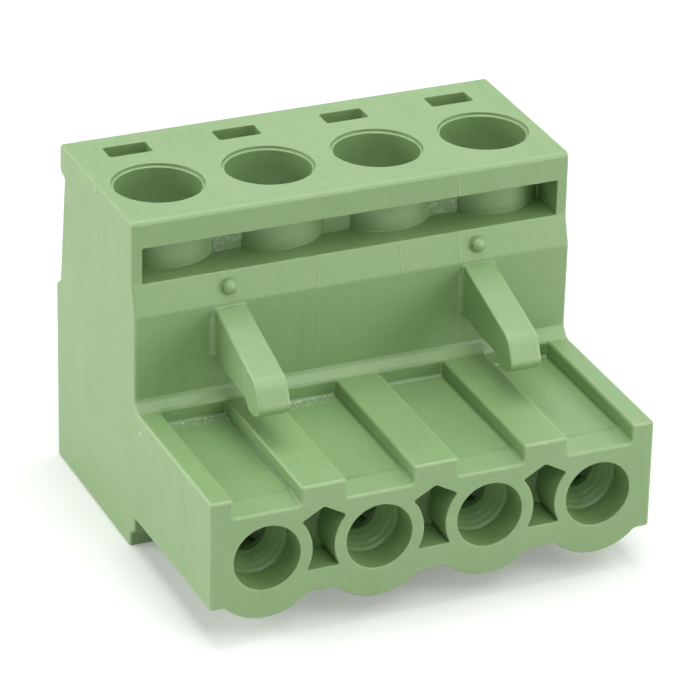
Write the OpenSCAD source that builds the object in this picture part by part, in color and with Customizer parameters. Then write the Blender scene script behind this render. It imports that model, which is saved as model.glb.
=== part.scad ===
// Pluggable screw terminal block, four poles: one plug half that slides on to a pin header.
// Frame: X runs along the row of poles, -Y is the mating face, +Y the wire side, +Z the screw side.
// The origin is under the middle of the block, on the plane that it stands on.

/* [Poles] */
// Distance between two neighbouring poles
pitch = 5.08; // [5.06:0.01:5.10]

/* [Clamp block] */
// Height over the top face
block_h = 15.6; // [15.5:0.05:15.8]
// Depth of the whole plug, from mating face to wire face
plug_d = 18.5; // [18.4:0.05:18.7]
// Depth of the flat foot that the block stands on
foot_d = 9.1; // [9.0:0.05:9.2]
// Thickness of the floor under the clamp chambers
floor_t = 1.28; // [1.2:0.02:1.3]
// Thickness of the top wall over the rear cover
roof_t = 1.37; // [1.3:0.01:1.4]
// Radius of a screwdriver well
well_r = 1.9; // [1.86:0.01:1.95]

/* [Front block] */
// Height of the front block's flat underside
front_z0 = 1.86; // [1.8:0.02:1.9]
// Height of the front block's top face
front_z1 = 6.95; // [6.9:0.05:7.0]
// Height of the socket axes
socket_z = 3.93; // [3.9:0.01:3.96]
// Radius of a socket's mouth
mouth_r = 1.5; // [1.4:0.02:1.5]
// Length of a socket's straight mouth
mouth_d = 1.4; // [1.2:0.05:1.5]
// Length of the cone behind the mouth, which guides the pin
cone_d = 0.95; // [0.8:0.05:1.1]
// Radius of the hole that a header pin passes through
pin_hole_r = 0.85; // [0.8:0.05:0.9]
// Width of the pockets in the top of the front block
pocket_w = 3.04; // [2.9:0.02:3.1]

/* [Latch arms] */
// Width of an arm
arm_w = 1.45; // [1.3:0.05:1.5]
// Downward slope of an arm's straight stretch, in degrees
arm_slope = 16.6; // [14:0.2:18]
// Slope of its turned-down end, in degrees
arm_end_slope = 67; // [60:1:72]

/* [Wire funnels] */
// Width of a funnel's mouth
funnel_w = 3.89; // [3.7:0.01:3.9]
// Height of a funnel's mouth
funnel_h = 5.95; // [5.8:0.05:6.0]
// Width of the opening at a funnel's inner end
throat_w = 2.96; // [2.8:0.02:3.0]

/* [Clamp] */
// Height of the contact bar's upper face
bar_top = 6.15; // [6.1:0.01:6.2]
// Thickness of the contact's sheet
bar_t = 0.8; // [0.7:0.05:0.8]
// How far a cage rises from fully open to shut
cage_travel = 3.0; // [2.5:0.1:3.0]

/* [Hidden] */

$fn = 48;
eps = 0.02;               // overlap that keeps cuts and joins clean
poles = 4;
green = [0.58, 0.70, 0.48];
zinc = [0.78, 0.79, 0.80];
nickel = [0.72, 0.70, 0.66];
tin = [0.80, 0.81, 0.80];

// Main planes
width = poles * pitch;
rear_y = plug_d / 2;
front_y = -plug_d / 2;
foot_y = rear_y - foot_d;
step_z = 8.65;            // the wire face is full depth up to here
lip_y = rear_y - 0.63;    // rear edge of the top wall
lip_z = block_h - roof_t; // underside of the top wall
wall_top_y = -0.08;       // front wall above the crease
crease_y = -0.46;
crease_z = 11.35;
wall_low_y = -0.41;       // front wall just above the front block
shelf_rear_y = -0.80;     // where the pockets meet the foot of the wall
notch_y = -0.38;          // the wall's lower end, over the notch in front of the foot
notch_z = [0.68, 1.02];   // lower and upper edge of the notch's sloping roof
underside_drop = 0.2;     // the front block's underside is this much lower at its rear end
side_step = 0.02;         // the front block is this much narrower on each side

// Slot across the front wall, with the wells standing in it
slot_z0 = 12.69;
slot_z1 = 14.34;
slot_side = 0.51;
slot_back_y = 1.8;
well_outer_r = 2.45;

// Sockets
hole_y = front_y + mouth_d + cone_d;
pin_hole_d = 0.3;         // the hole's wall is a thin web in front of the contact's leaves

// Clamp chambers
screw_y = 3.38;
chamber_w = 4.24;
chamber_y0 = 0.55;
chamber_y1 = 5.75;
chamber_z1 = 11.7;
head_room_r = 2.05;
head_z1 = 12.9;           // ceiling over a screw's head
neck_r = 1.62;            // the well narrows here and keeps the screw in
neck_z1 = 13.3;
rim_r = well_r + 0.12;    // shallow step round a well's mouth
rim_d = 0.15;

// Rear cover
cover_gap = 0.12;
mouth_half_w = width / 2 - 0.32;  // half the width of the housing's rear opening
cover_half_w = mouth_half_w - cover_gap;
frame_z1 = 8.68;
funnel_z0 = 2.27;
funnel_rim = 0.20;
throat_z0 = 2.40;
throat_z1 = 6.15;
outer_wall = 0.86;        // solid between an end funnel's mouth and the block's side
panel_t = 0.9;
catch_w = 1.8;
catch_z = 0.85;           // how far a catch stands into its window
roof_window = [6.50, 7.55];
floor_window = [6.85, 7.80];
window_w = 2.0;
nub_r = 0.34;
nub_z = 7.77;
nub_end_y = rear_y - 0.24;

// Screw, cage and contact
thread_r = 1.45;
head_r = 1.85;
head_t = 1.15;
head_slot = [0.6, 0.7];   // width and depth
cage_w = 4.04;
cage_d = 3.96;
cage_side = 0.36;
cage_leg = 0.8;
cage_nut_t = 1.6;
cage_z0 = floor_t + 0.12;
cage_nut_z = 6.7;
bar_w = 3.2;
bar_end_y = 5.15;
neck_w = 2.6;             // width of a contact where it passes through the front wall
leaf_h = 1.7;             // height of the two leaves that grip a header pin
leaf_t = 0.32;
leaf_gap = 0.9;           // a little less than the pin's 1.0 mm, so that the leaves spring
leaf_flare = 1.7;
teeth = 10;
tooth_h = 0.10;

function pole_x(i) = (i - (poles + 1) / 2) * pitch;
function arc(centre, r, a0, a1, steps) =
    [for (k = [0 : steps]) let (a = a0 + (a1 - a0) * k / steps) centre + r * [cos(a), sin(a)]];

// A profile drawn in Y and Z, extruded across X and centred on it
module across(w) rotate([90, 0, 90]) translate([0, 0, -w / 2]) linear_extrude(w) children();
// A profile drawn in X and Z, extruded from y0 to y1
module along(y0, y1) translate([0, y1, 0]) rotate([90, 0, 0]) linear_extrude(y1 - y0) children();
module box(lo, hi) translate(lo) cube(hi - lo);
module at_poles() for (i = [1 : poles]) translate([pole_x(i), 0, 0]) children();

// ---- Housing ----

// Outline of the moulding seen from its side
module side_profile() polygon([
    [rear_y, 0], [rear_y, step_z], [rear_y - 0.47, step_z + 0.28],
    [rear_y - 1.13, lip_z - 0.03], [lip_y - 0.1, lip_z], [lip_y, lip_z + 0.1],
    [lip_y, block_h - 0.1], [lip_y - 0.1, block_h],
    [wall_top_y + 0.13, block_h], [wall_top_y, block_h - 0.13],
    [wall_top_y, slot_z0], [crease_y, crease_z], [wall_low_y, front_z1 + 0.40],
    [shelf_rear_y, front_z1], [front_y, front_z1], [front_y, front_z0],
    [notch_y, front_z0 - underside_drop], [notch_y, notch_z[1]], [foot_y, notch_z[0]], [foot_y, 0]
]);

// Half-round bump under each socket
module bump() intersection() {
    along(front_y, -0.2) translate([0, 3.65]) circle(r = 2.6, $fn = 96);
    box([-2.5, front_y - 1, 0], [2.5, 0, front_z0 + 0.3]);
}

// Arm seen from its side: a straight stretch, a bend and a turned-down end with a barb under it
module latch_arm() {
    bend_r = 0.9;
    bend = [-4.70, 9.955];
    centre = bend + bend_r * [sin(arm_slope), -cos(arm_slope)];
    root_y = wall_low_y + 0.5;
    barb = [[-5.57, 8.80], [-5.52, 8.56], [-5.18, 8.26], [-4.86, 8.16], [-4.30, 8.18], [-3.88, 8.60]];
    across(arm_w) polygon(concat(
        [[root_y, bend.y + (root_y - bend.x) * tan(arm_slope)]],
        arc(centre, bend_r, 90 + arm_slope, 90 + arm_end_slope, 5),
        barb,
        [[-2.4, 8.66], [root_y, 8.96]]));
    for (s = [0, 1]) mirror([s, 0, 0]) translate([arm_w / 2, 0, 0]) root_fillet();
}

// Fillet between an arm's side and the front wall
module root_fillet() {
    r = 0.3;
    wall_y = (crease_y + wall_low_y) / 2;
    translate([-eps, wall_y, 9.0]) linear_extrude(1.8) difference() {
        translate([0, -r]) square([r + eps, r + 0.1]);
        translate([r + eps, -r]) circle(r);
    }
}

// Slot across the front wall; the wells' outer walls are left standing in it
module front_slot() difference() {
    box([-width / 2 + slot_side, wall_top_y - 1, slot_z0], [width / 2 - slot_side, slot_back_y, slot_z1]);
    at_poles() translate([0, screw_y, slot_z0 - 1]) cylinder(r = well_outer_r, h = 4);
}

// Screwdriver well: rim, well and the neck that holds the screw's head down
module well() translate([0, screw_y, 0]) {
    translate([0, 0, head_z1 - eps]) cylinder(r = neck_r, h = neck_z1 - head_z1 + 2 * eps);
    translate([0, 0, neck_z1]) cylinder(r = well_r, h = block_h - neck_z1 + 1);
    translate([0, 0, block_h - rim_d]) cylinder(r = rim_r, h = 1);
}

// Clamp chamber with the room for the screw's head; both are open to the rear
module chamber() {
    box([-chamber_w / 2, chamber_y0, floor_t], [chamber_w / 2, chamber_y1 + eps, chamber_z1]);
    translate([0, screw_y, chamber_z1 - eps]) cylinder(r = head_room_r, h = head_z1 - chamber_z1 + eps);
    box([-head_room_r, screw_y, chamber_z1 - eps], [head_room_r, chamber_y1 + eps, head_z1]);
}

// Socket: mouth, cone, pin hole, room for the contact's leaves and the passage to the chamber
module socket() {
    translate([0, 0, socket_z]) rotate([-90, 0, 0]) {
        translate([0, 0, front_y - 1]) cylinder(r = mouth_r, h = 1 + mouth_d);
        translate([0, 0, front_y + mouth_d]) cylinder(r1 = mouth_r, r2 = pin_hole_r, h = cone_d);
        translate([0, 0, hole_y - eps]) cylinder(r = pin_hole_r, h = pin_hole_d + 2 * eps);
    }
    box([-1.5, hole_y + pin_hole_d, socket_z - 1.0], [1.5, -1.4, socket_z + 1.0]);
    box([-neck_w / 2, -1.4 - eps, socket_z - bar_t / 2], [neck_w / 2, chamber_y0 + eps, socket_z + 1.0]);
}

// Gabled recess between two sockets, bounded by the sockets' round walls
module recess() along(front_y - 1, front_y + 1.8) difference() {
    polygon([[-1.3, 2.95], [1.3, 2.95], [1.3, 5.12], [0, 5.86], [-1.3, 5.12]]);
    for (s = [-1, 1]) translate([s * pitch / 2, socket_z]) circle(r = 2.05, $fn = 96);
}

// Pocket in the top of the front block; its floor dips towards the mating face
module pocket() across(pocket_w) polygon([
    [shelf_rear_y, front_z1 + 0.01], [shelf_rear_y, 6.32], [shelf_rear_y - 0.12, 6.2],
    [front_y + 1.35, 6.2], [front_y - 1, 5.99], [front_y - 1, front_z1 + 0.01]
]);

module rear_opening() {
    box([-mouth_half_w, chamber_y1, floor_t], [mouth_half_w, rear_y + 1, lip_z]);
    at_poles() {
        box([-window_w / 2, roof_window[0], lip_z - 1], [window_w / 2, roof_window[1], block_h + 1]);
        box([-window_w / 2, floor_window[0], -1], [window_w / 2, floor_window[1], floor_t + 1]);
    }
}

module housing() color(green) difference() {
    union() {
        across(width) side_profile();
        at_poles() bump();
        for (s = [-1, 1]) translate([s * (pitch + arm_w / 2), 0, 0]) {
            latch_arm();
            translate([0, (wall_top_y + crease_y) / 2 + 0.01, 12.03]) sphere(r = 0.37, $fn = 32);
        }
    }
    for (s = [-1, 1]) translate([s * width / 2, 0, 0])
        box([-side_step, front_y - 1, 0.3], [side_step, 0.05, front_z1 + 0.05]);
    front_slot();
    at_poles() {
        well();
        chamber();
        socket();
        pocket();
    }
    for (k = [1 : poles - 1]) translate([pole_x(k) + pitch / 2, 0, 0]) recess();
    rear_opening();
}

// ---- Rear cover ----

// Space of one wire funnel: a ramp seen from the side, crossed with tapered walls seen from above
module funnel(left, right) intersection() {
    across(2 * funnel_w) polygon([
        [chamber_y1 - 1, throat_z0], [chamber_y1, throat_z0], [rear_y, funnel_z0], [rear_y + 1, funnel_z0],
        [rear_y + 1, funnel_z0 + funnel_h + funnel_rim], [rear_y, funnel_z0 + funnel_h + funnel_rim],
        [rear_y - 0.16, funnel_z0 + funnel_h - 0.02], [chamber_y1, throat_z1], [chamber_y1 - 1, throat_z1]
    ]);
    half = throat_w / 2;
    linear_extrude(block_h) polygon([
        [-half, chamber_y1 - 1], [half, chamber_y1 - 1], [half, chamber_y1], [right, rear_y],
        [right, rear_y + 1], [-left, rear_y + 1], [-left, rear_y], [-half, chamber_y1]
    ]);
}

// Small round nub on the ramp of a funnel
module nub() intersection() {
    translate([0, 0, nub_z]) rotate([-90, 0, 0]) cylinder(r = nub_r, h = nub_end_y, $fn = 32);
    box([-1, rear_y - 2.2, nub_z - 1], [1, rear_y, nub_z + 0.6]);
}

// Panel above the funnels, with its edge ribs and the catches on its upper edge
module panel() {
    foot = [rear_y - 0.47, frame_z1];
    head = [rear_y - 1.13, lip_z - cover_gap];
    across(2 * cover_half_w) polygon([
        [foot.x, foot.y - eps], head, [head.x - panel_t, head.y], [foot.x - panel_t, foot.y - eps]
    ]);
    rib_w = 0.7;
    for (k = [-2 : 2])
        translate([sign(k) * min(abs(k) * pitch, cover_half_w - rib_w / 2), 0, 0]) across(rib_w) polygon([
            [chamber_y1, frame_z1 - eps], [foot.x - 0.3, frame_z1 - eps],
            [head.x - 0.3, head.y], [chamber_y1 + 1.0, head.y], [chamber_y1, head.y - 2.5]
        ]);
}

module catches() at_poles() across(catch_w) {
    top = lip_z - cover_gap;
    polygon([
        [roof_window[0] + 0.05, top - 0.9], [roof_window[0] + 0.05, top], [roof_window[1], lip_z + catch_z],
        [roof_window[1], top - eps], [lip_y - 0.9, top - eps], [lip_y - 0.9, top - 0.9]
    ]);
    base = floor_t + cover_gap;
    polygon([
        [floor_window[0] + 0.05, base + eps], [floor_window[0] + 0.05, base],
        [floor_window[1], floor_t - catch_z], [floor_window[1], base + eps]
    ]);
}

module rear_cover() color(green) {
    difference() {
        union() {
            box([-cover_half_w, chamber_y1, floor_t + cover_gap], [cover_half_w, rear_y - 0.03, frame_z1]);
            panel();
            catches();
        }
        for (i = [1 : poles]) translate([pole_x(i), 0, 0])
            funnel(left = i == 1 ? width / 2 - 1.5 * pitch - outer_wall : funnel_w / 2,
                   right = i == poles ? width / 2 - 1.5 * pitch - outer_wall : funnel_w / 2);
    }
    at_poles() nub();
}

// ---- Clamp pieces, drawn for the pole at x = 0 ----

// Slotted clamping screw; its end bears on the contact's bar
module screw() color(zinc) translate([0, screw_y, 0]) {
    tip_z = bar_top + 0.02;
    top_z = head_z1 - 0.03;
    lead = 0.28;
    difference() {
        union() {
            translate([0, 0, tip_z]) cylinder(r1 = thread_r - lead, r2 = thread_r, h = lead);
            translate([0, 0, tip_z + lead]) cylinder(r = thread_r, h = top_z - head_t - tip_z - lead + eps);
            translate([0, 0, top_z - head_t]) cylinder(r = head_r, h = head_t);
        }
        box([-head_slot.x / 2, -head_r - 1, top_z - head_slot.y], [head_slot.x / 2, head_r + 1, top_z + 1]);
    }
}

// Closed clamping cage, shown fully open: the wire goes between its leg and the bar
module cage() color(nickel) difference() {
    nut_top = cage_nut_z + cage_nut_t;
    box([-cage_w / 2, screw_y - cage_d / 2, cage_z0], [cage_w / 2, screw_y + cage_d / 2, nut_top]);
    box([-cage_w / 2 + cage_side, screw_y - cage_d, cage_z0 + cage_leg],
        [cage_w / 2 - cage_side, screw_y + cage_d, cage_nut_z]);
    translate([0, screw_y, cage_nut_z - 1]) cylinder(r = thread_r + 0.05, h = cage_nut_t + 2);
}

// Stamped contact: toothed bar in the cage, step down through the front wall, two leaves in the socket
module contact() color(tin) {
    bar_z0 = bar_top - bar_t;
    half = bar_t / 2;
    corner_r = 0.25;
    corner = [bar_w / 2 - corner_r, bar_top - corner_r];
    tooth = bar_w / (2 * teeth);
    along(1.1, bar_end_y) polygon(concat(
        arc(corner, corner_r, 0, 90, 4),
        arc([-corner.x, corner.y], corner_r, 90, 180, 4),
        [for (k = [0 : 2 * teeth]) [-bar_w / 2 + k * tooth, bar_z0 + (k % 2 == 0 ? tooth_h : 0)]]));
    across(neck_w) polygon([
        [-1.4, socket_z - half], [chamber_y0, socket_z - half], [1.35, bar_z0 + tooth_h],
        [1.35, bar_top], [1.1, bar_top], [0.35, socket_z + half], [-1.4, socket_z + half]
    ]);
    box([-neck_w / 2, -2.4, socket_z - half], [neck_w / 2, -1.4 + eps, socket_z + half]);
    for (s = [0, 1]) mirror([s, 0, 0]) translate([0, 0, socket_z - leaf_h / 2]) linear_extrude(leaf_h) leaf();
}

// One gripping leaf from above: it runs forward from the neck, closes in on the pin and flares at its tip
module leaf() {
    tip_y = hole_y + pin_hole_d + 0.15;
    polygon([
        [neck_w / 2, -1.7], [neck_w / 2 - leaf_t, -1.7], [neck_w / 2 - leaf_t, -2.6],
        [leaf_gap / 2, tip_y + 1.2], [leaf_gap / 2, tip_y + 0.8], [leaf_flare / 2, tip_y],
        [leaf_flare / 2 + leaf_t, tip_y + 0.1], [leaf_gap / 2 + leaf_t, tip_y + 0.95],
        [leaf_gap / 2 + leaf_t, tip_y + 1.1], [neck_w / 2, -2.7]
    ]);
}

housing();
rear_cover();
translate([pole_x(1), 0, 0]) screw();  // screw_1
translate([pole_x(2), 0, 0]) screw();  // screw_2
translate([pole_x(3), 0, 0]) screw();  // screw_3
translate([pole_x(4), 0, 0]) screw();  // screw_4
translate([pole_x(1), 0, 0]) cage();  // cage_1
translate([pole_x(2), 0, 0]) cage();  // cage_2
translate([pole_x(3), 0, 0]) cage();  // cage_3
translate([pole_x(4), 0, 0]) cage();  // cage_4
translate([pole_x(1), 0, 0]) contact();  // contact_1
translate([pole_x(2), 0, 0]) contact();  // contact_2
translate([pole_x(3), 0, 0]) contact();  // contact_3
translate([pole_x(4), 0, 0]) contact();  // contact_4
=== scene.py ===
# %% [markdown]
# # Dressing a pluggable terminal block
# A plug like this carries wires to a circuit board. Its two green mouldings and the metal parts inside them
# arrive from the construction model at their real size, so nothing is measured again here. This lesson gives
# each piece what the construction leaves out: softened edges, the marks of the mould, wound threads, and
# finishes that react to light as nylon, zinc, nickel and tin do.

# %% Load the construction
import math

import bmesh
import bpy
import numpy as np
from mathutils import Matrix, Vector


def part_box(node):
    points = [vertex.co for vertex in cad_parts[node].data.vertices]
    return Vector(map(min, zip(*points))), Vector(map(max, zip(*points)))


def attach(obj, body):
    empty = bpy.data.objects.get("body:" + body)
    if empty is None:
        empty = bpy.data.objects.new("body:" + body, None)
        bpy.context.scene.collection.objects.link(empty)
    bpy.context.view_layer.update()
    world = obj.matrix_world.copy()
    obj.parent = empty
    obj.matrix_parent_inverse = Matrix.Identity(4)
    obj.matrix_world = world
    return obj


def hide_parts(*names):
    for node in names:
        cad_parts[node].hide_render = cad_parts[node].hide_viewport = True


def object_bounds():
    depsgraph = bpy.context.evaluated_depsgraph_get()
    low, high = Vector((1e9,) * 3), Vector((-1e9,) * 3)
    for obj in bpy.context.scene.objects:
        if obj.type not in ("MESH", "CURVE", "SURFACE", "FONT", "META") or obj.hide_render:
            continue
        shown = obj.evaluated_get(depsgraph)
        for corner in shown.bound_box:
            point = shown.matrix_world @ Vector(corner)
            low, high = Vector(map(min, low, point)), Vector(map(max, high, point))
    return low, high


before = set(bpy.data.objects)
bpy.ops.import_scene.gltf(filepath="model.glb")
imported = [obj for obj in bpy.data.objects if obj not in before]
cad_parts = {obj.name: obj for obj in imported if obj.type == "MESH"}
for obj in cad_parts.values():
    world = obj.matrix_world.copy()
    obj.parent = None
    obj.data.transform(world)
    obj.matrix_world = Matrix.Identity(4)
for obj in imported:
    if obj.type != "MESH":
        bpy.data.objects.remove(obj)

MM = 0.001
CAD_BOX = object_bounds()
PLUG = "plug"
print("pieces:", sorted(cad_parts), "size in mm:", [round(v / MM, 2) for v in CAD_BOX[1] - CAD_BOX[0]])

# %% [markdown]
# ## The camera
# A small product is often taken from far away with a long lens, which keeps its parallel edges nearly
# parallel. Three angles and a distance give the camera's standpoint: it looks down from the front left, and
# it is rolled slightly. From there it is turned towards the plug's middle, and the long lens fills the
# picture with the plug. Moving closer instead would change the perspective.

# %% Place the camera
AZIMUTH, ELEVATION, ROLL = (math.radians(a) for a in (-26.8, 29.76, 2.78))
DISTANCE = 185.3 * MM
LENS = 225
SIDESTEP, DROP = 5.740 * MM, 6.378 * MM
STANDPOINT_FROM = Vector((0, -5.41, 7.5)) * MM
MIDDLE = (CAD_BOX[0] + CAD_BOX[1]) / 2

right = Vector((math.cos(AZIMUTH), math.sin(AZIMUTH), 0))
back = Vector((math.sin(AZIMUTH) * math.cos(ELEVATION), -math.cos(AZIMUTH) * math.cos(ELEVATION), math.sin(ELEVATION)))
up = back.cross(right)
rolled_right = math.cos(ROLL) * right + math.sin(ROLL) * up
rolled_up = math.cos(ROLL) * up - math.sin(ROLL) * right
location = STANDPOINT_FROM + SIDESTEP * rolled_right - DROP * rolled_up + DISTANCE * back

camera = bpy.data.objects.new("camera", bpy.data.cameras.new("camera"))
bpy.context.scene.collection.objects.link(camera)
bpy.context.scene.camera = camera
camera.data.lens = LENS
camera.data.clip_start = 1 * MM
camera.data.clip_end = 10
to_camera = (location - MIDDLE).normalized()
across = rolled_up.cross(to_camera).normalized()
axes = Matrix((across, to_camera.cross(across), to_camera)).transposed().to_4x4()
camera.matrix_world = Matrix.Translation(location) @ axes
print("camera at", [round(v / MM) for v in location], "mm")

# %% [markdown]
# ## Light and floor
# The plug stands in a white light tent. A pale world gives every face a little light, and seven large lamps
# model the form. The strongest stand above, behind the left end, whose face they graze, and to the right in
# front. They could be fewer and harder, but then the wells and the wall under the roof would fall to black.
# The floor is a plain pale sheet. To the camera it is lifted towards white, while its light on the plug
# stays that of pale paper.

# %% Light the plug
def lamp(name, place, size, power):
    """A soft square lamp at place, in millimetres from the plug's foot, turned towards the plug."""
    light = bpy.data.lights.new(name, "AREA")
    light.size = size * MM
    light.energy = power
    holder = bpy.data.objects.new(name, light)
    bpy.context.scene.collection.objects.link(holder)
    holder.location = Vector(place) * MM
    holder.rotation_euler = (Vector((0, 0, 7)) * MM - holder.location).to_track_quat("-Z", "Y").to_euler()
    return holder


LAMPS = {
    "back_left_low": ((-180, 90, 60), 120, 0.26),
    "left": ((-190, -10, 50), 110, 0.04),
    "top": ((0, 20, 210), 130, 0.225),
    "top_front": ((0, -110, 170), 120, 0.14),
    "right_front": ((150, -140, 60), 120, 0.18),
    "right_high": ((150, 20, 140), 110, 0.08),
    "back_right": ((110, 210, 110), 200, 0.05),
}
for name, (place, size, power) in LAMPS.items():
    lamp(name, place, size, power)


def seen_directly(net):
    """1 for rays that show the surroundings: the camera's, and those that a shiny or clear surface sends on."""
    ray = net.nodes.new("ShaderNodeLightPath")
    total = ray.outputs["Is Camera Ray"]
    for name in ("Is Glossy Ray", "Is Transmission Ray"):
        larger = net.nodes.new("ShaderNodeMath")
        larger.operation = "MAXIMUM"
        net.links.new(total, larger.inputs[0])
        net.links.new(ray.outputs[name], larger.inputs[1])
        total = larger.outputs[0]
    return total


def light_tent(diffuse=0.11, seen=1.0):
    """A world that gives little light itself but is white where it is seen."""
    tent = bpy.data.worlds.new("light_tent")
    tent.use_nodes = True
    net = tent.node_tree
    strength = net.nodes.new("ShaderNodeMapRange")
    net.links.new(seen_directly(net), strength.inputs["Value"])
    strength.inputs["To Min"].default_value = diffuse
    strength.inputs["To Max"].default_value = seen
    net.nodes["Background"].inputs["Color"].default_value = (1, 1, 1, 1)
    net.links.new(strength.outputs[0], net.nodes["Background"].inputs["Strength"])
    return tent


bpy.context.scene.world = light_tent()
bpy.context.scene.view_settings.view_transform = "Standard"

# %% [markdown]
# ## Writing materials as arithmetic
# A material is a net of nodes, but most of what it does is arithmetic on numbers that vary over a surface.
# `Value` wraps one socket and gives it Python's operators, so `1 - 0.3 * dirt` builds its own Math nodes.
# `Material` holds the net and has one method, `node`, for everything that isn't arithmetic.

# %% Helpers for materials
class Value:
    """A number that varies over a surface: one output socket in a material's net."""

    def __init__(self, material, socket):
        self.material = material
        self.socket = socket

    def _math(self, operation, *terms):
        return self.material.node("ShaderNodeMath", {"operation": operation}, *terms)

    def __add__(self, other):
        return self._math("ADD", self, other)

    def __radd__(self, other):
        return self._math("ADD", other, self)

    def __sub__(self, other):
        return self._math("SUBTRACT", self, other)

    def __rsub__(self, other):
        return self._math("SUBTRACT", other, self)

    def __mul__(self, other):
        return self._math("MULTIPLY", self, other)

    def __rmul__(self, other):
        return self._math("MULTIPLY", other, self)

    def __truediv__(self, other):
        return self._math("DIVIDE", self, other)

    def __rtruediv__(self, other):
        return self._math("DIVIDE", other, self)

    def __abs__(self):
        return self._math("ABSOLUTE", self)

    def sine(self):
        return self._math("SINE", self)

    def pingpong(self, step):
        """Rises from 0 to step, falls back to 0, and so on."""
        return self._math("PINGPONG", self, step)

    def length_with(self, other):
        """The distance whose sides are this and other."""
        return self._math("SQRT", self * self + other * other)

    def at_least(self, other):
        return self._math("MAXIMUM", self, other)

    def at_most(self, other):
        return self._math("MINIMUM", self, other)

    def ramp(self, low, high):
        """0 where this is below low, 1 above high, and smooth between them."""
        settings = {"interpolation_type": "SMOOTHSTEP"}
        return self.material.node("ShaderNodeMapRange", settings, self, low, high, 0.0, 1.0)

    def within(self, low, high, soft=0.05):
        """1 between low and high, and 0 outside."""
        return self.ramp(low - soft, low + soft) * (1 - self.ramp(high - soft, high + soft))

    def line_at(self, place, width):
        """1 on a thin line where this equals place, and 0 beside it."""
        return 1 - abs(self - place).ramp(0.2 * width, 0.5 * width)


class Material:
    """A material's net of nodes, with object coordinates in millimetres."""

    def __init__(self, name):
        self.data = bpy.data.materials.new(name)
        self.data.use_nodes = True
        self.net = self.data.node_tree
        self.shader = self.net.nodes["Principled BSDF"]
        place = self.node("ShaderNodeTexCoord", output="Object")
        self.mm = self.node("ShaderNodeVectorMath", {"operation": "SCALE"}, place, Scale=1 / MM)
        split = self.net.nodes.new("ShaderNodeSeparateXYZ")
        self.net.links.new(self.mm.socket, split.inputs[0])
        self.x, self.y, self.z = (Value(self, out) for out in split.outputs)
        normal = self.node("ShaderNodeTexCoord", output="Normal")
        turned = self.net.nodes.new("ShaderNodeSeparateXYZ")
        self.net.links.new(normal.socket, turned.inputs[0])
        self.facing_z = Value(self, turned.outputs[2])

    def node(self, kind, settings=None, *inputs, output=0, **named):
        """Adds a node: first its settings, then its sockets in order or by name. Gives back one output."""
        made = self.net.nodes.new(kind)
        for key, value in (settings or {}).items():
            setattr(made, key, value)
        for key, value in [*enumerate(inputs), *named.items()]:
            self.plug(made.inputs[key], value)
        return Value(self, made.outputs[output])

    def plug(self, socket, value):
        if isinstance(value, Value):
            self.net.links.new(value.socket, socket)
        else:
            socket.default_value = value

    def noise(self, size, detail=2.0, seed=0.0, stretch=(1, 1, 1), roughness=0.5):
        """Cloudy noise from about 0 to 1, whose blots are size millimetres across."""
        spot = self.node("ShaderNodeVectorMath", {"operation": "MULTIPLY_ADD"}, self.mm, stretch, (seed, seed, seed))
        sockets = {"Vector": spot, "Scale": 1 / size, "Detail": detail, "Roughness": roughness}
        return self.node("ShaderNodeTexNoise", None, **sockets)

    def blend(self, factor, first, second):
        """Mixes two colours."""
        settings = {"data_type": "RGBA", "clamp_factor": True}
        made = self.net.nodes.new("ShaderNodeMix")
        for key, value in settings.items():
            setattr(made, key, value)
        for index, value in ((0, factor), (6, first), (7, second)):
            self.plug(made.inputs[index], value)
        return Value(self, made.outputs[2])

    def bump(self, height, depth, under=None):
        """Turns a height from 0 to 1 into a dent pattern that is depth millimetres deep."""
        named = {"Height": height, "Distance": depth * MM, "Strength": 1.0}
        if under is not None:
            named["Normal"] = under
        return self.node("ShaderNodeBump", None, **named)

    def finish(self, **sockets):
        """Connects values to the surface shader, spelling spaces as underscores."""
        for key, value in sockets.items():
            self.plug(self.shader.inputs[key.replace("_", " ")], value)
        return self.data


print("material helpers ready")

# %% [markdown]
# ## The floor
# Pale paper reflects most of the light that falls on it. A little glow, seen only by the camera and by shiny
# surfaces, turns the paper nearly white in the picture, and the plug's soft shadow stays on it. The lamps
# don't reach far, so the glow grows with the distance from the plug and the paper runs out into the white
# tent without an edge.

# %% Lay the floor
def paper():
    sheet = Material("pale_paper")
    seen = Value(sheet, seen_directly(sheet.net))
    sheet.finish(Base_Color=(0.80, 0.80, 0.80, 1), Roughness=0.9, Emission_Color=(1, 1, 1, 1))
    far = sheet.x.length_with(sheet.y).ramp(60.0, 400.0)
    sheet.plug(sheet.shader.inputs["Emission Strength"], seen * (0.22 + 0.78 * far))
    return sheet.data


bpy.ops.mesh.primitive_plane_add(size=4)
floor = bpy.context.object
floor.name = "floor"
floor.data.materials.append(paper())
print("floor laid")

# %% [markdown]
# ## Green nylon
# The mouldings are nylon filled with a little pigment. Nylon is slightly waxy: light goes a short way in
# before it comes back, and the surface is satin with a fine grain from the mould. Cloudy tone, a fine grain
# in the bump and an uneven sheen keep it from looking like flat paint.

# %% Where things are on the plug
PITCH = 5.08
SOCKET_Z = 3.93
WELL_Y = 3.38
LOW, HIGH = (Vector(corner) / MM for corner in CAD_BOX)
WALL_Y = -0.45
SHELF_Z = 6.95
POCKET_Z = 6.2
SLOT_Z = (12.69, 14.34)
WELL_RADIUS = 1.9
MOUTH_RADIUS = 1.5
print("the plug's corners in mm:", [round(v, 2) for v in (*LOW, *HIGH)])

# %% Mix the nylon
NYLON = (0.190, 0.328, 0.122, 1)
NYLON_PALE = (0.235, 0.375, 0.16, 1)
NYLON_DEEP = (0.155, 0.288, 0.096, 1)
# A paler green: painted highlight on the rounded outer edges, and the colour of the mould's hairlines and the gate
# mark.
HIGHLIGHT_AND_MARK_PALE = (0.30, 0.44, 0.19, 1)
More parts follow.
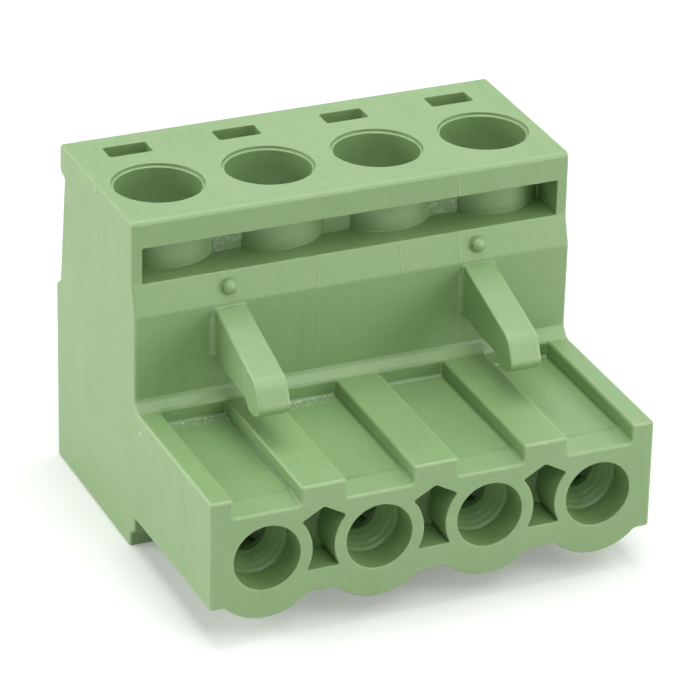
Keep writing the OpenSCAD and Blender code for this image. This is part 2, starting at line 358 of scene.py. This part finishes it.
# A dark green, painted into hollow corners as shade.
PAINTED_CORNER_SHADE = (0.07, 0.16, 0.04, 1)
# A whitish tone for specks, and for a painted highlight between two wells.
SPECK_AND_HIGHLIGHT_WHITE = (0.62, 0.68, 0.58, 1)


def mould_lines(green):
    """Hairlines where the mould's parts met: one along a rib and up the wall, others on the wall and sides."""
    front_block = 1 - green.z.ramp(SHELF_Z, SHELF_Z + 0.2)
    wall = green.z.ramp(SHELF_Z + 0.3, SHELF_Z + 0.5) * green.y.within(WALL_Y - 0.6, WALL_Y + 1.2)
    along_rib = green.x.line_at(5.32, 0.09) * front_block * green.z.ramp(4.9, 5.0)
    up_wall = green.x.line_at(4.93, 0.11) * wall
    faint = green.x.line_at(2.16, 0.10) + green.x.line_at(-1.71, 0.10)
    sides = green.y.line_at(0.05, 0.09) * abs(green.x).ramp(HIGH.x - 0.12, HIGH.x - 0.05) * front_block
    return along_rib + 0.7 * up_wall + 0.4 * faint * wall + 0.5 * sides


def tool_marks(green, pole_gap):
    """Fine rings that the turned core pins left inside the sockets and the wells."""
    in_socket = 1 - pole_gap.length_with(green.z - SOCKET_Z).ramp(MOUTH_RADIUS + 0.02, MOUTH_RADIUS + 0.1)
    in_socket = in_socket * (1 - green.y.ramp(LOW.y + 3.0, LOW.y + 3.2))
    in_well = 1 - pole_gap.length_with(green.y - WELL_Y).ramp(WELL_RADIUS + 0.02, WELL_RADIUS + 0.05)
    in_well = in_well * green.z.ramp(13.2, 13.3)
    rings = in_socket * (green.y * 26).sine() + 0.6 * in_well * (green.z * 21).sine()
    return rings, in_socket, in_well


def gate_mark(green):
    """The small round stub, high on the left side, where the nylon ran into the mould."""
    apart = (green.y - 4.2).length_with(green.z - 15.35)
    return (1 - apart.ramp(0.16, 0.26)) * (1 - green.x.ramp(LOW.x + 0.05, LOW.x + 0.12))


def whitish_specks_and_highlight(green):
    """Whitish specks in the pockets' rear corners, and a pale haze between two wells, a painted highlight."""
    specks = green.noise(0.16, detail=3.0, seed=21.0, roughness=0.7)
    pockets = green.y.within(-1.35, -0.86) * green.z.within(POCKET_Z - 0.06, POCKET_Z + 0.12)
    pockets = pockets * (1 - green.x.ramp(-2.5, 1.5)) * specks.ramp(0.53, 0.60)
    # Painted highlight: a pale haze on the slot's back between two wells.
    slot = green.z.within(*SLOT_Z, soft=0.3) * green.y.within(1.2, 2.2) * abs(green.x).within(4.3, 5.9, soft=0.3)
    return pockets + slot * specks.ramp(0.50, 0.66) * 0.5


def nylon():
    green = Material("green_nylon")
    pole_gap = PITCH / 2 - green.x.pingpong(PITCH / 2)
    upward = green.facing_z.ramp(0.5, 0.9)
    clouds = green.noise(5.0, detail=3.0, seed=3.0)
    mottle = green.noise(0.5, detail=4.0, seed=17.0, roughness=0.6)
    down_wall = green.noise(0.55, detail=3.0, seed=11.0, stretch=(1, 1, 0.12))
    along_block = green.noise(0.40, detail=3.0, seed=13.0, stretch=(1, 0.08, 1))
    streaks = down_wall + upward * (along_block - down_wall)
    grain = green.noise(0.09, detail=2.0, seed=5.0)
    waves = green.noise(2.2, detail=1.0, seed=8.0)
    patches = green.noise(3.0, detail=2.0, seed=41.0).ramp(0.42, 0.62)
    lines = mould_lines(green)
    rings, in_socket, in_well = tool_marks(green, pole_gap)
    specks_and_highlight = whitish_specks_and_highlight(green)
    gate = gate_mark(green)

    rounded = green.node("ShaderNodeAttribute", {"attribute_name": "rounded"}, output="Fac")
    convexity = green.node("ShaderNodeNewGeometry", output="Pointiness")
    # Painted highlight: the rounded faces that bulge outwards, where a thin line of light falls.
    edge = rounded * convexity.ramp(0.50, 0.56)
    # Painted shade: the rounded faces in hollow corners.
    painted_corner_shade = rounded * (1 - convexity.ramp(0.44, 0.50))

    colour = green.blend(clouds.ramp(0.35, 0.75) * 0.35, NYLON, NYLON_PALE)
    colour = green.blend(mottle.ramp(0.48, 0.72) * 0.30, colour, NYLON_PALE)
    colour = green.blend(streaks.ramp(0.50, 0.75) * patches * 0.35, colour, NYLON_DEEP)
    # Painted highlight: the rounded outer edges are painted paler, as if they caught light.
    colour = green.blend(edge * (0.15 + 0.5 * mottle), colour, HIGHLIGHT_AND_MARK_PALE)
    # Painted shade: hollow corners are painted dark, where shade falls.
    colour = green.blend(painted_corner_shade * 0.85, colour, PAINTED_CORNER_SHADE)
    colour = green.blend(lines * 0.35, colour, HIGHLIGHT_AND_MARK_PALE)
    # Whitish specks, and the painted highlight between two wells.
    colour = green.blend(specks_and_highlight, colour, SPECK_AND_HIGHLIGHT_WHITE)
    colour = green.blend(gate * 0.6, colour, HIGHLIGHT_AND_MARK_PALE)
    sheen = 0.40 + 0.12 * streaks + 0.10 * grain - 0.16 * in_well - 0.05 * in_socket
    relief = green.bump(waves, 0.012)
    relief = green.bump(streaks, 0.003, relief)
    relief = green.bump(grain, 0.006, relief)
    relief = green.bump(0.5 + 0.5 * rings * (0.4 + mottle), 0.009, relief)
    relief = green.bump(lines, 0.020, relief)
    relief = green.bump(specks_and_highlight, 0.020, relief)
    relief = green.bump(gate, 0.080, relief)
    return green.finish(Base_Color=colour, Roughness=sheen, Normal=relief,
                        Subsurface_Weight=0.08, Subsurface_Scale=0.5 * MM, IOR=1.52, Specular_IOR_Level=1.0)


GREEN = nylon()
print("mixed", GREEN.name)

# %% [markdown]
# ## Softened edges
# No moulded edge is a knife edge: the mould's own corners are slightly round, and they catch a thin line of
# light. The mouldings are rebuilt from copies of their construction meshes. The copy's loose triangles are
# joined, flat regions are merged into single faces, and a Bevel modifier rounds what is still sharp. The
# work is done in millimetres, because bevels need sizes well above the smallest step that they tell apart.

# %% Join a piece's triangles
FINE_STEP = 0.03


def joined_copy(node):
    """A closed mesh in millimetres from a construction node's loose triangles, with its flat faces merged.

    The sides' one step, too fine to be rounded, is levelled: the nylon's bump draws it as a line. A merged
    face must not surround a hole, so cuts are kept beside each pole's axis and between the poles.
    """
    shape = bmesh.new()
    shape.from_mesh(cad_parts[node].data)
    bmesh.ops.scale(shape, vec=(1 / MM,) * 3, verts=shape.verts)
    for vertex in shape.verts:
        if 0 < HIGH.x - abs(vertex.co.x) < FINE_STEP:
            vertex.co.x = math.copysign(HIGH.x, vertex.co.x)
    bmesh.ops.remove_doubles(shape, verts=shape.verts, dist=0.0005)
    bmesh.ops.dissolve_degenerate(shape, edges=shape.edges, dist=0.0005)
    for half_step in range(-3, 4):
        place = (half_step * PITCH / 2 + 0.2, 0, 0)
        everything = [*shape.verts, *shape.edges, *shape.faces]
        cut = bmesh.ops.bisect_plane(shape, geom=everything, plane_co=place, plane_no=(1, 0, 0), dist=0.0005)
        for item in cut["geom_cut"]:
            if isinstance(item, bmesh.types.BMEdge):
                item.seam = True
    angle = math.radians(0.4)
    bmesh.ops.dissolve_limit(shape, angle_limit=angle, verts=shape.verts, edges=shape.edges, delimit={"SEAM"})
    return shape


# %% [markdown]
# A Bevel modifier can only use one width, and it shrinks that width everywhere if a single narrow face has
# no room for it. So each edge gets its own share of the width as a bevel weight: `room_across` measures how
# far a face reaches beside each of its edges, and an edge beside a narrow ledge is rounded less.

# %% Round each edge as far as its faces allow
FOLD = math.radians(12)
FAINT_FOLD = math.radians(4.5)
LARGE_FACE = 0.8
RIM_WIDTH = 0.045
IN_LINE = math.radians(20)


def room_across(face):
    """For each edge of a flat face, how far the face reaches from the edge's middle, in millimetres."""
    if len(face.edges) == 3:
        return {edge: 2 * face.calc_area() / edge.calc_length() for edge in face.edges}
    side = (face.verts[1].co - face.verts[0].co).normalized()
    flat = Matrix((side, face.normal.cross(side)))
    corners = np.array([flat @ loop.vert.co for loop in face.loops])
    steps = np.roll(corners, -1, axis=0) - corners
    found = {}
    for index, loop in enumerate(face.loops):
        start = corners[index] + steps[index] / 2
        inward = np.array((-steps[index][1], steps[index][0])) / np.hypot(*steps[index])
        turn = inward[0] * steps[:, 1] - inward[1] * steps[:, 0]
        turn[np.abs(turn) < 1e-9] = np.inf
        gap = corners - start
        ahead = (gap[:, 0] * steps[:, 1] - gap[:, 1] * steps[:, 0]) / turn
        along = (gap[:, 0] * inward[1] - gap[:, 1] * inward[0]) / turn
        hits = ahead[(ahead > 1e-4) & (along >= 0) & (along <= 1)]
        found[loop.edge] = min(hits, default=np.inf)
    return found


def room_at_ends(face):
    """For each edge of a face, how far its neighbours run to the side, where they turn away from it."""
    found = {edge: np.inf for edge in face.edges}
    for loop in face.loops:
        before, here = loop.link_loop_prev.edge, loop.edge
        first = before.other_vert(loop.vert).co - loop.vert.co
        second = here.other_vert(loop.vert).co - loop.vert.co
        turn = math.sin(first.angle(second))
        if turn > 0.3:
            found[here] = min(found[here], 2 * first.length * turn)
            found[before] = min(found[before], 2 * second.length * turn)
    return found


def is_corner(edge):
    """True where two faces meet at an angle, and not where they are two facets of one round surface."""
    bend = edge.calc_face_angle(0.0)
    both_large = all(face.calc_area() > LARGE_FACE for face in edge.link_faces)
    return bend > FOLD or (bend > FAINT_FOLD and both_large)


def even_out(shape, weight):
    """Gives two rounded edges that run on in one line the smaller of their widths, so no step is left."""
    for _ in range(4):
        for vertex in shape.verts:
            edges = [edge for edge in vertex.link_edges if edge[weight] > 0]
            if len(edges) == 2:
                first, second = (edge.other_vert(vertex).co - vertex.co for edge in edges)
                if first.angle(-second) < IN_LINE:
                    edges[0][weight] = edges[1][weight] = min(edge[weight] for edge in edges)


def inside(place, boxes):
    return any(all(low[i] < place[i] < high[i] for i in range(3)) for low, high in boxes)


def softened(node, width, segments=3, crisp=(), bare=()):
    """The node's shape with its edges rounded, as a new object that stands for the node.

    Edges inside the boxes of crisp are the rims of holes, where two halves of the mould shut on each other.
    Edges inside the boxes of bare stay sharp, because small forms meet there and leave no room.
    Where rounded edges cross at a shallow angle their corner can overshoot, so it is held inside the node's box.
    """
    shape = joined_copy(node)
    weight = shape.edges.layers.float.new("bevel_weight_edge")
    room = {edge: np.inf for edge in shape.edges}
    for face in shape.faces:
        for reaches in (room_across(face), room_at_ends(face)):
            for edge, reach in reaches.items():
                room[edge] = min(room[edge], reach)
    for edge in shape.edges:
        middle = (edge.verts[0].co + edge.verts[1].co) / 2
        wanted = RIM_WIDTH if inside(middle, crisp) else width
        rounds = is_corner(edge) and not inside(middle, bare)
        edge[weight] = min(wanted, 0.42 * room[edge]) / width if rounds else 0.0
        edge.smooth = rounds or not is_corner(edge)
    even_out(shape, weight)
    draft = bpy.data.meshes.new(node + "_draft")
    draft.materials.append(None)
    draft.materials.append(None)
    shape.to_mesh(draft)
    shape.free()
    piece = bpy.data.objects.new(node + "_soft", draft)
    bpy.context.scene.collection.objects.link(piece)
    rounding = piece.modifiers.new("rounding", "BEVEL")
    rounding.width = width
    rounding.segments = segments
    rounding.limit_method = "WEIGHT"
    rounding.use_clamp_overlap = False
    rounding.miter_outer = "MITER_ARC"
    rounding.material = 1
    weights = piece.modifiers.new("flat_faces_stay_flat", "WEIGHTED_NORMAL")
    weights.weight = 100
    weights.keep_sharp = True
    for face in draft.polygons:
        face.use_smooth = True
    scene_now = bpy.context.evaluated_depsgraph_get()
    mesh = bpy.data.meshes.new_from_object(piece.evaluated_get(scene_now), depsgraph=scene_now)
    piece.modifiers.clear()
    rounded = mesh.attributes.new("rounded", "FLOAT", "FACE")
    for face in mesh.polygons:
        rounded.data[face.index].value = face.material_index
        face.material_index = 0
    mesh.transform(Matrix.Scale(MM, 4))
    lowest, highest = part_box(node)
    for vertex in mesh.vertices:
        vertex.co = [min(max(v, lo), hi) for v, lo, hi in zip(vertex.co, lowest, highest)]
    piece.data = mesh
    bpy.data.meshes.remove(draft)
    return piece


def dress(piece, nodes, body, material):
    """Puts a finish on a piece, lets it ride on its body and hides the construction parts that it stands for."""
    piece.data.materials.clear()
    piece.data.materials.append(material)
    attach(piece, body)
    if nodes:
        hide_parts(*nodes)
    print(piece.name, len(piece.data.polygons), "faces")


INSET = 0.5
HOLE_RIMS = [
    ((LOW.x + INSET, LOW.y - 1, 2.4), (HIGH.x - INSET, LOW.y + 0.1, 6.0)),
    ((LOW.x + 0.3, -0.6, 12.5), (HIGH.x - 0.3, 3.0, 14.6)),
    ((LOW.x + INSET, 1.0, HIGH.z - 0.3), (HIGH.x - INSET, HIGH.y - 1.2, HIGH.z + 1)),
    ((LOW.x + INSET, 1.0, -1.0), (HIGH.x - INSET, HIGH.y - 1.2, 0.3)),
    ((LOW.x + INSET, -0.78, 8.9), (HIGH.x - INSET, 0.1, 10.9)),
]
dress(softened("housing", 0.13, crisp=HOLE_RIMS), ["housing"], PLUG, GREEN)
PEG_ROOTS = [((x - 0.8, LOW.y, 6.4), (x + 0.5, HIGH.y - 0.1, 8.0)) for x in np.arange(-1.5, 2) * PITCH]
dress(softened("rear_cover", 0.10, bare=PEG_ROOTS), ["rear_cover"], PLUG, GREEN)

# %% [markdown]
# ## Zinc, nickel and tin
# The screws are zinc plated, the cages nickel plated and the contacts tinned. All three are pale metals that
# differ in how rough and how warm they are. Fine scratches run along each piece's own direction of work.

# %% Mix the metals
def plated(name, colour, roughness, stretch, depth):
    metal = Material(name)
    lines = metal.noise(0.10, detail=3.0, seed=2.0, stretch=stretch)
    blots = metal.noise(0.9, detail=2.0, seed=7.0)
    dull = tuple(0.8 * c for c in colour)
    tone = metal.blend(blots.ramp(0.45, 0.7) * 0.5, (*colour, 1), (*dull, 1))
    sheen = roughness + 0.12 * lines + 0.08 * blots
    return metal.finish(Base_Color=tone, Metallic=1.0, Roughness=sheen, Normal=metal.bump(lines, depth))


ZINC = plated("zinc_plate", (0.74, 0.76, 0.78), 0.25, (1, 1, 0.1), 0.004)
NICKEL = plated("nickel_plate", (0.70, 0.67, 0.61), 0.28, (0.1, 1, 1), 0.003)
TIN = plated("tin_plate", (0.80, 0.78, 0.74), 0.40, (1, 0.05, 0.3), 0.006)
print("mixed", ZINC.name, NICKEL.name, TIN.name)

# %% [markdown]
# ## The screws' threads
# A clamping screw has a rolled thread: a ridge that winds up its shank, one turn every half millimetre, which
# is also how far the cage rises for one turn of the screw. The construction model only has a plain shank as
# thick as the thread's crest. A ridge could be cut turn by turn, but it is one shape that follows one path,
# which is what Geometry Nodes are for: a spiral curve is the path, and a small diamond drawn along it is the
# ridge. Half of the diamond sits in the shank, which is slimmed to the depth of the thread. The Spiral node
# winds a left-hand thread by itself, and its Reverse input gives the right-hand thread of a real screw.

# %% Build the thread's node tree
CREST_RADIUS = 1.45
ROOT_RADIUS = 1.20
THREAD_PITCH = 0.5


def thread_tree():
    """A node tree that winds a ridge round an upright shank."""
    tree = bpy.data.node_groups.new("wound_thread", "GeometryNodeTree")
    sizes = ("Root radius", "Ridge height", "Pitch", "Length")
    for name in sizes:
        tree.interface.new_socket(name, in_out="INPUT", socket_type="NodeSocketFloat")
    tree.interface.new_socket("Start", in_out="INPUT", socket_type="NodeSocketVector")
    tree.interface.new_socket("Finish", in_out="INPUT", socket_type="NodeSocketMaterial")
    tree.interface.new_socket("Geometry", in_out="OUTPUT", socket_type="NodeSocketGeometry")
    given = tree.nodes.new("NodeGroupInput").outputs

    def add(kind, settings=None, **sockets):
        made = tree.nodes.new(kind)
        for key, value in (settings or {}).items():
            setattr(made, key, value)
        for key, value in sockets.items():
            socket = made.inputs[int(key[1:])] if key[0] == "_" else made.inputs[key.replace("_", " ")]
            if isinstance(value, bpy.types.NodeSocket):
                tree.links.new(value, socket)
            else:
                socket.default_value = value
        return made.outputs[0]

    turns = add("ShaderNodeMath", {"operation": "DIVIDE"}, _0=given["Length"], _1=given["Pitch"])
    path = add("GeometryNodeCurveSpiral", Resolution=32, Rotations=turns, Start_Radius=given["Root radius"],
               End_Radius=given["Root radius"], Height=given["Length"], Reverse=True)
    level = add("GeometryNodeSetCurveNormal", {"mode": "Z_UP"}, Curve=path)
    diamond = add("GeometryNodeCurvePrimitiveCircle", {"mode": "RADIUS"}, Resolution=4, Radius=given["Ridge height"])
    ridge = add("GeometryNodeCurveToMesh", Curve=level, Profile_Curve=diamond, Fill_Caps=True)
    placed = add("GeometryNodeTransform", Geometry=ridge, Translation=given["Start"])
    real = add("GeometryNodeRealizeInstances", Geometry=placed)
    finished = add("GeometryNodeSetMaterial", Geometry=real, Material=given["Finish"])
    tree.links.new(finished, tree.nodes.new("NodeGroupOutput").inputs["Geometry"])
    return tree


THREAD = thread_tree()
print("tree", THREAD.name, "has", len(THREAD.nodes), "nodes")

# %% [markdown]
# The tree's result is turned into a plain mesh for each screw, because the modifier itself would be lost when
# the plug is exported. Each input is set by its socket's identifier: a name may change, an identifier doesn't.

# %% Wind a thread for each screw
def wound_thread(number, start, length):
    """The ridge of one screw as a plain mesh, from start upwards. Sizes are in millimetres."""
    holder = bpy.data.objects.new(f"thread_{number}", bpy.data.meshes.new("empty"))
    bpy.context.scene.collection.objects.link(holder)
    winding = holder.modifiers.new("winding", "NODES")
    winding.node_group = THREAD
    ridge = CREST_RADIUS - ROOT_RADIUS
    sizes = {"Root radius": ROOT_RADIUS * MM, "Ridge height": ridge * MM, "Pitch": THREAD_PITCH * MM,
             "Length": length * MM, "Start": Vector(start) * MM, "Finish": ZINC}
    for item in THREAD.interface.items_tree:
        if item.in_out == "INPUT":
            winding[item.identifier] = sizes[item.name]
    scene_now = bpy.context.evaluated_depsgraph_get()
    mesh = bpy.data.meshes.new_from_object(holder.evaluated_get(scene_now), depsgraph=scene_now)
    holder.modifiers.clear()
    holder.data = mesh
    outward = bmesh.new()
    outward.from_mesh(mesh)
    bmesh.ops.recalc_face_normals(outward, faces=outward.faces)
    outward.to_mesh(mesh)
    outward.free()
    return holder


def slimmed(screw, axis_x, axis_y):
    """Brings a screw's shank in to the thread's root. Gives back the height of the head's underside."""
    def from_axis(vertex):
        return Vector((vertex.co.x / MM - axis_x, vertex.co.y / MM - axis_y))

    underside = min(v.co.z for v in screw.data.vertices if from_axis(v).length > CREST_RADIUS + 0.15) / MM
    for vertex in screw.data.vertices:
        out = from_axis(vertex)
        if ROOT_RADIUS < out.length < CREST_RADIUS + 0.02 and vertex.co.z / MM < underside + 0.06:
            out *= ROOT_RADIUS / out.length
            vertex.co.x, vertex.co.y = (axis_x + out.x) * MM, (axis_y + out.y) * MM
    return underside


POLES = (1, 2, 3, 4)
THREAD_CLEAR = 0.45
for number in POLES:
    axis_x, axis_y, _ = sum(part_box(f"screw_{number}"), Vector()) / 2 / MM
    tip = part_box(f"screw_{number}")[0].z / MM
    screw = softened(f"screw_{number}", 0.05)
    underside = slimmed(screw, axis_x, axis_y)
    length = underside - tip - 2 * THREAD_CLEAR
    thread = wound_thread(number, (axis_x, axis_y, tip + THREAD_CLEAR), length)
    dress(screw, [f"screw_{number}"], f"turning_screw_{number}", ZINC)
    dress(thread, [], f"turning_screw_{number}", ZINC)
print("one thread is", round(length, 2), "mm long")

# %% [markdown]
# ## Cages and contacts
# The cages are bent from nickel-plated strip and the contacts are stamped from tinned strip, so both keep
# their own shape from the construction and only lose their sharpest edges.

# %% Dress the cages and contacts
for number in POLES:
    dress(softened(f"cage_{number}", 0.06), [f"cage_{number}"], f"rising_cage_{number}", NICKEL)
    dress(softened(f"contact_{number}", 0.02), [f"contact_{number}"], PLUG, TIN)
